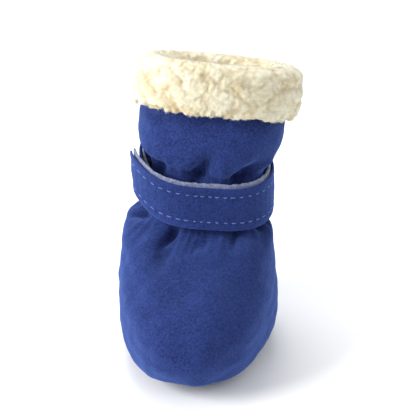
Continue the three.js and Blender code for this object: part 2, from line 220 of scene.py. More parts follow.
class Upper:
    """The upper's outer face, as a function of the angle round the boot and the row up it."""

    def __init__(self):
        s = sizes()
        self.seat = s.sole_thickness + s.gap
        self.sections = np.array([self.foot_section(s, *row) for row in FOOT_SECTIONS]
            + [self.shaft_section(s, s.waist_width, s.waist_depth, *WAIST_SECTION)]
            + [self.shaft_section(s, s.shaft_width, s.shaft_depth, *row) for row in SHAFT_SECTIONS])

    def foot_section(self, s, height, centre, reach, width, sway, ball, square, tilt):
        """x, y, z, half width, half depth, ball, square, tilt and roll of a section of the foot."""
        z = self.seat + height * (s.ankle_height - self.seat)
        return (sway * s.shaft_sway, centre * s.foot_length, z, width * s.foot_width / 2,
            reach * s.foot_length / 2, ball, square, math.radians(tilt), 0)

    def shaft_section(self, s, full_width, full_depth, rise, back, sway, width, depth, tilt, roll):
        """The same of a section of the shaft, which leans back over the ankle."""
        ankle = FOOT_SECTIONS[-1][1] * s.foot_length
        return (sway * s.shaft_sway, ankle + back * s.shaft_setback, s.ankle_height + rise * s.shaft_height,
            width * full_width / 2, depth * full_depth / 2, 0, SHAFT_SQUARE, tilt * s.collar_tilt,
            roll * s.collar_roll)

    def fold_depth(self, angle, row):
        """How far the gathers push the wall in: a sum of troughs, each falling off as a bell across and
        along."""
        depth = np.zeros(np.broadcast(angle, row).shape)
        for around, at_row, deep, wide, long, lean in FOLDS:
            over = row - WAIST_ROW - at_row
            turn = angle - np.radians(around + lean * over)
            across = (np.mod(turn + math.pi, FULL_TURN) - math.pi) / math.radians(wide)
            depth += deep * np.exp(-across**2 - (over / long) ** 2)
        return depth * sizes().fold_depth

    def toe_lift(self, y):
        """The toe curls off the floor in front of the forefoot's flat, with the square of the distance."""
        s = sizes()
        start = -0.2 * s.foot_length
        return s.toe_spring * np.maximum(0, (start - y) / (0.5 * s.foot_length + start)) ** 2

    def point(self, angle, row, folded=True):
        """A superellipse in each section's own plane, tilted and rolled, pushed in by the gathers."""
        angle, row = np.broadcast_arrays(angle, row)
        section = np.moveaxis(spline(self.sections, row), -1, 0)
        x, y, z, half_width, half_depth, ball, square, tilt, roll = section
        radius = (np.abs(np.sin(angle) / half_width) ** square
            + np.abs(np.cos(angle) / half_depth) ** square) ** (-1 / square)
        if folded:
            radius = radius - self.fold_depth(angle, row)
        side = radius * np.sin(angle) * (1 + ball * np.cos(angle))
        back = -radius * np.cos(angle)
        px = x + side * np.cos(roll)
        py = y + back * np.cos(tilt)
        pz = z - back * np.sin(tilt) - side * np.sin(roll)
        fade = np.maximum(0, 1 - (pz - self.seat) / (0.6 * (sizes().ankle_height - self.seat)))
        return np.stack([px, py, pz + self.toe_lift(py) * fade**2], axis=-1)

    def section_axis(self, row):
        """The direction square to a section's plane."""
        tilt, roll = np.moveaxis(spline(self.sections, row)[..., 7:9], -1, 0)
        side = np.stack([np.cos(roll), 0 * roll, -np.sin(roll)], axis=-1)
        back = np.stack([0 * tilt, np.cos(tilt), -np.sin(tilt)], axis=-1)
        return unit(np.cross(side, back))

    def normal(self, angle, row, folded=True):
        """The outward direction, from the slopes both ways. Towards the rim it turns into the section's
        plane."""
        angle, row = np.broadcast_arrays(angle, row)
        step = 1e-3
        above, below = np.minimum(RIM_ROW, row + 10 * step), np.maximum(0, row - 10 * step)
        sideways = self.point(angle + step, row, folded) - self.point(angle - step, row, folded)
        upwards = self.point(angle, above, folded) - self.point(angle, below, folded)
        flat = unit(np.cross(sideways, self.section_axis(row)))
        full = unit(np.cross(sideways, upwards))
        share = smoothstep(RIM_ROW - row, 0, 0.9)[..., None]
        return unit(flat + (full - flat) * share)

    def offset(self, angle, row, out, folded=True):
        return self.point(angle, row, folded) + self.normal(angle, row, folded) * np.asarray(out)[..., None]

    def row_at_plane(self, angle, place, axis, height, low):
        """The row where the smooth face crosses a height over a plane, found by halving."""
        low = np.full(np.broadcast(angle, height).shape, float(low))
        high = np.full(low.shape, float(RIM_ROW))
        for _ in range(22):
            middle = (low + high) / 2
            below = (self.point(angle, middle, False) - place) @ axis < height
            low, high = np.where(below, middle, low), np.where(below, high, middle)
        return (low + high) / 2

    def strap_plane(self):
        """A place and the axis of the plane that the strap's middle line follows."""
        roll = sizes().strap_roll
        section = spline(self.sections, np.array(WAIST_ROW + 0.27))
        return np.array([0, section[1], section[2]]), np.array([math.sin(roll), 0, math.cos(roll)])

    def even_rows(self, count, low, high):
        """Rows spaced evenly by the mean length of the face's way up."""
        rows = np.linspace(low, high, 400)
        steps = np.diff(self.point(angles(12)[None, :], rows[:, None], False), axis=0)
        length = np.concatenate([[0], np.cumsum(np.linalg.norm(steps, axis=-1).mean(axis=1))])
        return np.interp(np.linspace(0, length[-1], count), length, rows)


def hashed(i, j, seed):
    """A repeatable number from 0 to 1 for each pair of whole numbers."""
    value = np.sin(i * 127.1 + j * 311.7 + seed * 74.7) * 43758.5453
    return value - np.floor(value)


def domes(angle, along, count, size, seed):
    """Soft cushions round scattered middles, count of them round the boot: each middle lifts a bell, and
    the bells blend where they meet. Gives the height from 0 to 1 and a blend of each cushion's own
    number."""
    u, v = angle / FULL_TURN * count, along / size
    u = u + 0.3 * np.sin(2.1 * v + 3 * angle) + 0.2 * np.sin(3.7 * v - 11 * angle)
    v = v + 0.25 * np.sin(7 * angle + 1.3 * v) + 0.2 * np.sin(count // 3 * angle)
    lifted, own = np.zeros(np.broadcast(u, v).shape), 0
    for step_i in (-1, 0, 1):
        for step_j in (-1, 0, 1):
            i, j = np.floor(u) + step_i, np.floor(v) + step_j
            cell = np.mod(i, count)
            away_u = u - i - 0.5 - 0.8 * (hashed(cell, j, seed) - 0.5)
            away_v = v - j - 0.5 - 0.8 * (hashed(cell, j, seed + 1) - 0.5)
            bell = np.exp(-10 * (away_u**2 + away_v**2))
            lifted = lifted + bell
            own = own + bell * hashed(cell, j, seed + 2)
    return np.clip(1 + 0.22 * np.log(lifted + 1e-9), 0, 1), own / (lifted + 1e-9)


def waves(points, size, seed, count=14):
    """Soft lumps: a sum of plane waves of about one length in scattered directions, roughly from -1 to 1."""
    draws = np.random.default_rng(seed)
    directions = unit(draws.normal(size=(count, 3))) * FULL_TURN / size * draws.uniform(0.7, 1.4, (count, 1))
    phases = draws.uniform(0, FULL_TURN, count)
    return np.sin(points @ directions.T + phases).sum(axis=-1) / math.sqrt(count)


def new_mesh(name, points, quads, caps=(), uvs=None, marks=None):
    """A smooth mesh of quads, and of caps with any one number of corners. uvs has a pair for each corner
    of each quad, and marks a number for each point."""
    mesh = bpy.data.meshes.new(name)
    points, quads = np.asarray(points, np.float32).reshape(-1, 3), np.asarray(quads, np.int32).reshape(-1, 4)
    caps = np.asarray(caps, np.int32)
    starts = np.arange(0, quads.size, 4)
    if caps.size:
        starts = np.concatenate([starts, quads.size + np.arange(0, caps.size, caps.shape[-1])])
    mesh.vertices.add(len(points))
    mesh.vertices.foreach_set("co", points.ravel())
    mesh.loops.add(quads.size + caps.size)
    mesh.loops.foreach_set("vertex_index", np.concatenate([quads.ravel(), caps.ravel()]))
    mesh.polygons.add(len(starts))
    mesh.polygons.foreach_set("loop_start", starts.astype(np.int32))
    mesh.update(calc_edges=True)
    mesh.polygons.foreach_set("use_smooth", np.ones(len(starts), bool))
    if uvs is not None:
        layer = np.zeros((quads.size + caps.size, 2), np.float32)
        layer[: quads.size] = np.reshape(uvs, (-1, 2))
        mesh.uv_layers.new(name="UVMap").data.foreach_set("uv", layer.ravel())
    for key, values in (marks or {}).items():
        layer = mesh.attributes.new(key, "FLOAT", "POINT")
        layer.data.foreach_set("value", np.asarray(values, np.float32).ravel())
    mesh.validate()
    return mesh


def end_caps(rows, columns):
    """The faces that close a grid of rings at its first and last ring."""
    ring = np.arange(columns)
    return np.stack([ring[::-1], (rows - 1) * columns + ring])


def grid_quads(rows, columns, close_rows=False, close_columns=True):
    """The quads of a grid of points and the grid places of their corners, before any wrap."""
    r = np.arange(rows if close_rows else rows - 1)
    c = np.arange(columns if close_columns else columns - 1)
    r, c = (part.ravel() for part in np.meshgrid(r, c, indexing="ij"))
    corners = np.stack([np.stack([r, c], -1), np.stack([r, c + 1], -1), np.stack([r + 1, c + 1], -1),
        np.stack([r + 1, c], -1)], axis=1)
    quads = (corners[..., 0] % rows) * columns + corners[..., 1] % columns
    return quads, corners


def skin(name, points, close_rows=False, marks=None):
    """A skin over rings of points, each ring closed. The UV map has the mean distance round and the way
    along."""
    rows, columns = points.shape[:2]
    quads, corners = grid_quads(rows, columns, close_rows)
    ahead = np.roll(points, -1, axis=0) if close_rows else np.concatenate([points[1:], points[-1:]])
    along = np.concatenate([[0], np.cumsum(np.linalg.norm(ahead - points, axis=-1).mean(axis=1))])
    girth = np.linalg.norm(np.roll(points, -1, axis=1) - points, axis=-1).sum(axis=1).mean()
    uvs = np.stack([corners[..., 1] / columns * girth, along[corners[..., 0]]], axis=-1)
    return new_mesh(name, points, quads, () if close_rows else end_caps(rows, columns), uvs, marks)


def tubes(name, paths, radii, sides):
    """Many closed tubes as one mesh. Each is a ring of sides points carried along its path, square to it.
    paths is tubes by steps by 3, and radii is tubes by steps."""
    count, steps = paths.shape[:2]
    tangent = unit(np.gradient(paths, axis=1))
    first = unit(np.cross(tangent, [0.31, 0.27, 0.91]))
    second = np.cross(tangent, first)
    turn = angles(sides)
    ring = first[:, :, None] * np.cos(turn)[:, None] + second[:, :, None] * np.sin(turn)[:, None]
    points = paths[:, :, None] + ring * radii[:, :, None, None]
    return repeated(name, points, count, steps, sides)


def repeated(name, points, count, rows, columns):
    """One mesh of count closed skins, each over as many rings of as many points."""
    first = (np.arange(count) * rows * columns)[:, None, None]
    quads, _ = grid_quads(rows, columns)
    return new_mesh(name, points, quads + first, (end_caps(rows, columns) + first).reshape(-1, columns))


def add_piece(name, mesh, material, slot, *nodes):
    """A finished piece: it has its material, rides on the boot's one body, and stands for the CAD nodes
    named."""
    piece = bpy.data.objects.new(name, mesh)
    bpy.context.scene.collection.objects.link(piece)
    piece.data.materials.append(material)
    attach(piece, "root")
    if nodes:
        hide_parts(*nodes)
    return piece


def creased(upper, points):
    """How far the creases push a point in: a bell across each crease's line, fading to its ends."""
    depth = np.zeros(points.shape[:-1])
    pieces = 8
    for from_angle, from_row, to_angle, to_row, deep, wide in CREASES:
        share = np.linspace(0, 1, pieces + 1)
        line = upper.point(np.radians(from_angle + (to_angle - from_angle) * share),
            WAIST_ROW + from_row + (to_row - from_row) * share)
        reach = np.linalg.norm(line[-1] - line[0]) + 3 * wide * MM
        near = np.linalg.norm(points - line.mean(axis=0), axis=-1) < reach
        best, place = np.full(near.sum(), 1.0), np.zeros(near.sum())
        for k, (start, end) in enumerate(zip(line[:-1], line[1:])):
            way = end - start
            t = np.clip((points[near] - start) @ way / (way @ way), 0, 1)
            away = np.linalg.norm(points[near] - start - t[:, None] * way, axis=-1)
            place = np.where(away < best, (k + t) / pieces, place)
            best = np.minimum(best, away)
        fade = np.sin(math.pi * (0.1 + 0.8 * place)) ** 1.5
        depth[near] += deep * MM * np.exp(-((best / (wide * MM)) ** 2)) * fade
    return depth


def pressed_in(upper, angle, row, points):
    """How far the worked suede lies under the folded form: its creases, the sewn seam up the back, a
    hollow drawn in along each edge of the strap with fine pleats, and puckers by the sole, less the lumps
    of padded cloth."""
    s = sizes()
    lumps = 0.3 * MM * waves(points, 17 * MM, 3) + 0.12 * MM * waves(points, 7 * MM, 4)
    gathered = np.exp(-((row - WAIST_ROW + 1.1) / 0.7) ** 2) + np.exp(-((row - WAIST_ROW - 1.3) / 0.6) ** 2)
    pleats = 0.12 * MM * gathered * np.sin(37 * angle + 2.2 * np.sin(3 * angle) + 1.4 * np.sin(7 * angle + 1))
    pucker = 0.14 * MM * np.exp(-((row / 0.8) ** 2)) * np.sin(88 * angle + np.sin(9 * angle))
    from_back = np.abs(np.mod(angle, FULL_TURN) - math.pi) * s.shaft_width / 2
    seam = smoothstep(row, 0.6, 1.6) * (np.exp(-((from_back / (0.35 * MM)) ** 2)) * 0.7 * MM
        - np.exp(-(((from_back - 1.5 * MM) / (1.1 * MM)) ** 2)) * 0.25 * MM)
    place, axis = upper.strap_plane()
    over = (points - place) @ axis
    drawn = (1.1 * MM * np.exp(-(((over + s.strap_width / 2 + 0.7 * MM) / (1.5 * MM)) ** 2))
        + 0.6 * MM * np.exp(-(((over - s.strap_width / 2 - 1 * MM) / (1.4 * MM)) ** 2)))
    fade = smoothstep(row, 0, 0.5) * smoothstep(RIM_ROW - row, 0, 0.6)
    return (creased(upper, points) + seam + drawn + pleats + pucker - lumps) * fade


def build_upper():
    s = sizes()
    upper = Upper()
    angle, row = np.meshgrid(angles(s.around), upper.even_rows(UPPER_ROWS, 0, RIM_ROW))
    folds = upper.fold_depth(angle, row)
    face = upper.point(angle, row)
    pressed = pressed_in(upper, angle, row, face)
    outer = face - upper.normal(angle, row) * pressed[..., None]
    hidden = np.linspace(0, UPPER_ROWS - 1, UPPER_INNER_ROWS).astype(int)[::-1]
    angle, row = angle[hidden], row[hidden]
    inner = upper.offset(angle, row, -s.suede_wall - np.maximum(0, pressed[hidden]))
    rim, axis = upper.sections[RIM_ROW][:3], upper.section_axis(np.array(float(RIM_ROW)))
    # The trough mark paints shade: darker in the pressed creases and folds, plus a painted shadow band under
    # the cuff's edge.
    painted_cuff_shadow = 2.4 * MM * np.exp(-((((rim - face) @ axis - s.cuff_drop - 3 * MM) / (3 * MM)) ** 2))
    depth = np.concatenate([pressed + folds + painted_cuff_shadow, np.zeros(inner.shape[:2])])
    mesh = skin("suede_upper", np.concatenate([outer, inner]), close_rows=True,
        marks={"trough": depth / s.fold_depth})
    add_piece("suede_upper", mesh, suede_material(), "suede", "upper")


def build_lining():
    """Fleece from under the cuff's facing to the insole: a thin wall whose inner face is curled."""
    s = sizes()
    upper = Upper()
    rows = upper.even_rows(LINING_ROWS, 0.35, RIM_ROW - 0.5)
    angle, row = np.meshgrid(angles(LINING_POINTS), rows)
    pressed = np.maximum(0, pressed_in(upper, angle, row, upper.point(angle, row)))
    back = upper.offset(angle, row, -s.suede_wall - s.gap / 2 - pressed)
    along = np.linspace(0, 110 * MM, len(rows))[:, None]
    clump, tone = domes(angle, along, 30, 4.6 * MM, 11)
    curl, _ = domes(angle, along, 66, 2 * MM, 12)
    pile = s.lining_pile * (0.5 + 0.35 * clump + 0.2 * curl)
    face = upper.offset(angle, row, -s.upper_wall - pressed - pile)
    # Painted shade: the hollow mark is darker between the curls, and full on the hidden back.
    hollow = np.concatenate([np.ones(back.shape[:2]), 1 - (0.65 * clump + 0.35 * curl)[::-1]])
    mesh = skin("fleece_lining", np.concatenate([back, face[::-1]]), close_rows=True,
        marks={"hollow": hollow, "tone": np.concatenate([tone, tone[::-1]])})
    add_piece("fleece_lining", mesh, fleece_material(), "fleece")


def cuff_profile():
    """The cuff's section, measured down from the rim and out from the upper's outer face: the lower edge,
    the outer leg, the rounded crown and the facing inside, then the hidden seat against the upper."""
    s = sizes()
    outer, seat = s.gap + s.cuff_pile, -s.upper_wall - 2 * s.gap
    inner = seat - s.cuff_lining
    shown = [(s.cuff_drop, 1.2 * s.gap, 0), (s.cuff_drop + 0.9 * MM, s.gap + 0.26 * s.cuff_pile, 0.7),
        (s.cuff_drop + 0.7 * MM, s.gap + 0.52 * s.cuff_pile, 1),
        (0.98 * s.cuff_drop, s.gap + 0.74 * s.cuff_pile, 1)]
    for share in (0.88, 0.78, 0.67, 0.54, 0.4, 0.27, 0.13):
        shown.append((share * s.cuff_drop, outer - (share - 0.45) ** 2 * s.cuff_pile, 1))
    for bend in np.linspace(0, math.pi, 8):
        out = (outer + inner) / 2 + 0.96 * (outer - inner) / 2 * math.cos(bend)
        shown.append((-s.cuff_crown * math.sin(bend), out, 1))
    for share in (0.3, 0.62, 0.94):
        shown.append((share * s.cuff_facing, inner, 0.7))
    hidden = [(share * s.cuff_facing, seat, 0) for share in (1, 0.75, 0.5, 0.25)]
    hidden += [(-s.gap, seat, 0), (-s.gap, 1.2 * s.gap, 0)]
    hidden += [(share * s.cuff_drop, 1.2 * s.gap, 0) for share in (0.35, 0.7)]
    return np.array(shown, float), np.array(hidden, float)


def build_cuff():
    s = sizes()
    upper = Upper()
    shown, hidden = cuff_profile()
    steps = np.hypot(*np.diff(shown[:, :2], axis=0).T)
    place = np.interp(np.linspace(0, steps.sum(), CUFF_ROWS), np.concatenate([[0], np.cumsum(steps)]),
        np.arange(len(shown)))
    profile = np.concatenate([spline(shown, place), hidden])
    angle = np.broadcast_to(angles(s.cuff_around)[None, :], (len(profile), s.cuff_around))
    down, out, curl_share = (np.broadcast_to(column[:, None], angle.shape) for column in profile.T)
    rim = upper.sections[RIM_ROW][:3]
    axis = upper.section_axis(np.array(float(RIM_ROW)))
    row = np.where(down > 0, upper.row_at_plane(angle, rim, axis, -down, WAIST_ROW), RIM_ROW)
    travelled = np.concatenate([[0], np.cumsum(np.hypot(*np.diff(profile[:, :2], axis=0).T))])[:, None]
    clump, tone = domes(angle, travelled, 34, 4.9 * MM, 21)
    curl, _ = domes(angle, travelled, 80, 2.1 * MM, 22)
    relief = s.curl_relief * (0.5 * (clump - 0.6) + 0.18 * (curl - 0.6))
    sense = np.where(out > -s.upper_wall / 2, 1, -1)
    folded = upper.offset(angle, row, out + sense * curl_share * relief)
    smooth = upper.offset(angle, row, out + sense * curl_share * relief, False)
    points = np.where((out < 0)[..., None], folded, smooth)
    points = points + axis * np.maximum(0, -down)[..., None]
    fringe = np.exp(-(((travelled - 2 * MM) / (2 * MM)) ** 2)) * (curl_share > 0)
    ragged = fringe * (1.3 * MM * (clump - 0.6) + 0.5 * MM * (curl - 0.6))
    points = points - axis * ragged[..., None]
    # Painted shade: the hollow mark is darker between the clumps and along the lower fringe.
    hollow = 1 - (0.65 * clump + 0.35 * curl) + 0.5 * fringe
    mesh = skin("fleece_cuff", points, close_rows=True, marks={"hollow": hollow, "tone": tone})
    add_piece("fleece_cuff", mesh, fleece_material(), "fleece", "cuff")
    visible = points[: len(place)]
    for part, low, high, seed in (("outer", 0.005, 0.4, 5), ("crown", 0.38, 0.98, 6)):
        name = "fleece_locks_" + part
        add_piece(name, fleece_locks(name, visible, low, high, seed), lock_material(), "fleece")


def fleece_locks(name, points, low, high, seed):
    """Short curled hairs that stand on a skin between two shares of its way along: each rises along the
    normal and winds round it in a loose coil that closes towards its tip."""
    s = sizes()
    draws = np.random.default_rng(seed)
    rows, columns = points.shape[:2]
    sideways = np.roll(points, -1, axis=1) - np.roll(points, 1, axis=1)
    normal = unit(np.cross(sideways, np.gradient(points, axis=0)))
    r, c = draws.uniform(low, high, HAIRS) * (rows - 1), draws.integers(0, columns, HAIRS)
    base, up = points[r.astype(int), c], normal[r.astype(int), c]
    level = unit(np.cross(up, draws.normal(size=(HAIRS, 3))))
    other = np.cross(up, level)
    steps = np.linspace(0, 1, 5)
    length = s.hair_length * draws.uniform(0.6, 1.3, (HAIRS, 1))
    phase, turns = draws.uniform(0, FULL_TURN, (HAIRS, 1)), draws.uniform(0.5, 1.3, (HAIRS, 1))
    winding = phase + FULL_TURN * turns * steps
    radius = 0.3 * length * np.sin(math.pi * (0.12 + 0.8 * steps))
    sink = 0.25 * s.hair_length
    paths = (base[:, None] + up[:, None] * (0.62 * length * steps - sink)[..., None]
        + level[:, None] * (radius * (np.cos(winding) - np.cos(phase)))[..., None]
        + other[:, None] * (radius * (np.sin(winding) - np.sin(phase)))[..., None])
    radii = s.hair_thickness / 2 * np.array([1, 1, 0.9, 0.7, 0.3]) * np.ones((HAIRS, 1))
    return tubes(name, paths, radii, 3)


class Strap:
    """The strap's way round the ankle, as a function of the angle."""

    def __init__(self, upper):
        s = sizes()
        self.upper = upper
        self.place, self.axis = upper.strap_plane()
        self.layer = s.strap_backing + 1.3 * s.gap + s.strap_face
        girth = math.pi * (s.waist_width + s.waist_depth) / 2
        self.overlap = s.strap_overlap / girth * FULL_TURN

    def lines(self, angle):
        """The middle of the strap's inner face, its way up and its way out at each angle: it stands on
        the smooth upper at its lower edge, eases off it at its upper edge, and is pushed out where the
        upper would touch."""
        s, upper = sizes(), self.upper
        ends = [upper.row_at_plane(angle, self.place, self.axis, share * s.strap_width, WAIST_ROW - 4)
            for share in (-0.5, 0.5)]
        out = upper.normal(angle, (ends[0] + ends[1]) / 2, False)
        out = unit(out - (out @ self.axis)[:, None] * self.axis)
        slack = s.strap_slack * np.maximum(0, np.cos(angle - s.strap_slack_at)) ** 8
        near = 1.5 * s.gap
        lower = upper.point(angle, ends[0], False) + out * near
        higher = upper.point(angle, ends[1], False) + out * (near + s.strap_ease + slack)[:, None]
        push = np.zeros(len(angle))
        for share in (0.15, 0.3, 0.45, 0.6, 0.75, 0.9):
            wall = upper.point(angle, ends[0] + (ends[1] - ends[0]) * share, False)
            height = np.clip((wall - self.place) @ self.axis / s.strap_width + 0.5, 0, 1)
            line = lower + (higher - lower) * height[:, None]
            push = np.maximum(push, ((wall - line) * out).sum(axis=-1) + near)
        middle = (lower + higher) / 2 + out * push[:, None]
        return middle, unit(higher - lower), out

    def place_on(self, to_tip, height, out_by):
        """A point of the strap: to_tip is the angle left to the tip, height is measured up from the
        strap's middle line, and out_by from its inner face."""
        s = sizes()
        overlap = self.overlap
        climb = 1 - smoothstep(to_tip, 1.1 * overlap, 2.8 * overlap)
        tip = 1 - smoothstep(to_tip, 0, 0.5 * overlap)
        lift = climb * (self.layer + 2 * s.gap) + tip * s.strap_tip_lift
        rise = s.strap_tip_rise * (1 - smoothstep(to_tip, 0, 1.1 * overlap))
        cut = s.strap_start_cut * smoothstep(to_tip, FULL_TURN - 0.1 * overlap, FULL_TURN + 0.5 * overlap)
        height = height + rise[:, None] - cut[:, None] * (0.5 + height / s.strap_width)
        middle, up, out = self.lines(s.strap_tip + to_tip)
        return (middle[:, None] + up[:, None] * height[..., None]
            + out[:, None] * (lift[:, None] + out_by)[..., None])


def rounded_section(width, thickness, corner, count):
    """A flat bar's section with round corners, as two columns: a superellipse whose straight sides are
    long."""
    turn = angles(count)
    power = 2 / 9
    flat = np.sign(np.cos(turn)) * np.abs(np.cos(turn)) ** power * width / 2
    thick = np.sign(np.sin(turn)) * np.abs(np.sin(turn)) ** power * thickness / 2
    blunt = np.minimum(1, (width / 2 - np.abs(flat)) / corner + 0.35)
    return flat, thick * blunt


def build_strap():
    s = sizes()
    strap = Strap(Upper())
    whole = FULL_TURN + strap.overlap
    to_tip = np.linspace(whole, 0, STRAP_STEPS)
    along = to_tip / whole * s.waist_width * 4
    flat, thick = rounded_section(s.strap_width, s.strap_face, 0.5 * MM, STRAP_POINTS)
    flat, thick = (np.broadcast_to(part, (STRAP_STEPS, STRAP_POINTS)) for part in (flat, thick))
    rows_at = s.strap_width / 2 - s.stitch_inset
    on_row = np.exp(-(((np.abs(flat) - rows_at) / (0.7 * MM)) ** 2))
    pinch = 0.75 + 0.25 * np.cos(FULL_TURN * along[:, None] / s.stitch_pitch)
    pad = 0.22 * MM * (1 - (2 * flat / s.strap_width) ** 2) - 0.3 * MM * on_row * pinch
    outer = s.strap_face / 2 + strap.layer - s.strap_face
    face = strap.place_on(to_tip, flat, outer + thick + np.where(thick > 0, pad, 0))
    edge = np.abs(2 * flat / s.strap_width) ** 8
    # The trough mark paints shade along the stitch rows, where the suede is pressed in.
    mesh = capped("suede_strap", face, {"trough": on_row * 0.25, "edge": edge})
    add_piece("suede_strap", mesh, suede_material(strap=True), "suede", "strap_face")

    tape_width = s.strap_width + s.strap_backing_rise
    flat, thick = rounded_section(tape_width, s.strap_backing, 0.3 * MM, TAPE_POINTS)
    rough = np.sin(to_tip * 23 + 2 * np.sin(to_tip * 9)) + np.sin(to_tip * 71 + 2 * np.sin(to_tip * 31))
    fray = 0.09 * MM * rough[:, None] * (flat > 0.4 * tape_width)
    tape = strap.place_on(to_tip, flat + s.strap_backing_rise / 2 + fray, s.strap_backing / 2
        + np.broadcast_to(thick, (STRAP_STEPS, TAPE_POINTS)))
    finish = plain_finish("fastening tape")
    add_piece("strap_tape", capped("strap_tape", tape), finish, "tape", "strap_backing")
    add_piece("strap_thread", strap_stitches(strap, whole, rows_at, outer), plain_finish("thread"), "suede")


def capped(name, rings, marks=None):
    """A closed bar over rings of points. Its ends draw in to a middle over two short rings."""
    middle = rings.mean(axis=1, keepdims=True)
    first = middle[:1] + (rings[:1] - middle[:1]) * 1e-3
    last = middle[-1:] + (rings[-1:] - middle[-1:]) * 1e-3
    marks = {key: np.concatenate([value[:1], value, value[-1:]]) for key, value in (marks or {}).items()}
    return skin(name, np.concatenate([first, rings, last]), marks=marks)


def strap_stitches(strap, whole, rows_at, outer):
    """Lockstitches along both edges: each is a short tube that dives into the cloth at its two ends."""
    s = sizes()
    step = s.stitch_pitch / (math.pi * (s.waist_width + s.waist_depth) / 2 + 12 * MM) * FULL_TURN
    starts = np.arange(0.35 * step, whole - step, step)
    share = np.linspace(-0.5, 0.5, 7)
    draws = np.random.default_rng(9)
    paths = []
    for side in (-1, 1):
        long, moved, slant = draws.uniform(-1, 1, (3, len(starts), 1)) * [[[0.2]], [[0.08]], [[0.16 * MM]]]
        to_tip = (starts[:, None] + step * (0.5 + moved) + share * step * s.stitch_share * (1 + long)).ravel()
        arch = np.tile(s.strap_face / 2 + 0.02 * MM - 1.4 * MM * share**4 * 8, len(starts))[:, None]
        height = (side * rows_at + slant * share).reshape(-1, 1)
        paths.append(strap.place_on(to_tip, height, outer + arch).reshape(len(starts), 7, 3))
    paths = np.concatenate(paths)
    radii = s.thread_thickness / 2 * np.array([0.4, 0.8, 1, 1, 1, 0.8, 0.4]) * np.ones((len(paths), 1))
    return tubes("strap_thread", paths, radii, 8)


# Rings of the sole's plate from the middle of its underside out to the edge and back over the top. share
# scales the ring about the middle, inset is a share of the edge's rounding and height of the thickness.
SOLE_RINGS = ((0.001, 0, 0), (0.45, 0, 0), (0.8, 0, 0), (0.95, 0, 0), (1, 1, 0), (1, 0.35, 0.12), (1, 0, 0.4),
    (1, 0, 0.7), (1, 0.15, 0.9), (1, 0.6, 1), (0.93, 0, 1), (0.5, 0, 1), (0.001, 0, 1))
INSOLE_RINGS = ((0.001, 0, 0), (0.6, 0, 0), (1, 0.4, 0), (1, 0, 0.3), (1, 0, 0.7), (1, 0.5, 1),
    (0.9, 0, 1.02), (0.75, 0, 1), (0.6, 0, 1), (0.45, 0, 1), (0.3, 0, 1), (0.15, 0, 1), (0.001, 0, 1))


def plate(upper, rim, rings, edge, base, thickness, margin):
    """Rings inside an outline, each scaled, inset and raised by its row of the table, and lifted at the
    toe."""
    share, inset, height = np.array(rings, float).T[..., None]
    out = unit(rim * [1, 1, 0])
    x = (rim[:, 0] + (margin - inset * edge) * out[:, 0]) * share
    y = (rim[:, 1] + (margin - inset * edge) * out[:, 1]) * share
    return np.stack([x, y, base + height * thickness + upper.toe_lift(y)], axis=-1)


def build_sole():
    s = sizes()
    upper = Upper()
    rim = upper.point(angles(SOLE_POINTS), np.array(0.0))
    base = s.grip_height
    rings = plate(upper, rim, SOLE_RINGS, s.sole_edge, base, s.sole_thickness - base, s.sole_margin)
    add_piece("rubber_sole", skin("rubber_sole", rings), plain_finish("sole rubber"), "sole", "outsole")

    pitch = s.grip_pitch
    i, j = np.meshgrid(np.arange(-12, 13), np.arange(-14, 15))
    x, y = ((i + 0.5 * (j % 2)) * pitch).ravel(), (j * pitch * math.sqrt(0.75)).ravel()
    turn = np.arctan2(x, -y)
    edge = upper.point(turn, np.array(0.0))
    inside = np.hypot(x, y) < np.hypot(edge[:, 0], edge[:, 1]) - s.grip_radius - 0.6 * MM
    x, y = x[inside], y[inside]
    bend = np.linspace(0, math.pi / 2, 4)
    round_by = angles(12)
    reach = s.grip_radius * np.cos(bend)[:, None] + 1e-6
    root = base + 0.05 * MM
    dots = np.stack(np.broadcast_arrays(
        x[:, None, None] + reach * np.sin(round_by),
        y[:, None, None] + reach * np.cos(round_by),
        root - root * np.sin(bend)[:, None] + upper.toe_lift(y)[:, None, None]), -1)
    mesh = repeated("grip_dots", dots, len(x), len(bend), len(round_by))
    add_piece("grip_dots", mesh, plain_finish("sole rubber"), "sole")


def build_insole():
    s = sizes()
    upper = Upper()
    rim = upper.offset(angles(INSOLE_POINTS), np.array(0.0), np.full(INSOLE_POINTS, -s.upper_wall))
    rings = plate(upper, rim, INSOLE_RINGS, 0.5 * MM, upper.seat, s.insole_thickness, -1.5 * s.gap)
    on_top = rings[..., 2] > upper.seat + 1 * MM
    rings[..., 2] += 0.12 * MM * waves(rings, 9 * MM, 8) * on_top
    add_piece("felt_insole", skin("felt_insole", rings), plain_finish("insole felt"), "insole", "insole")


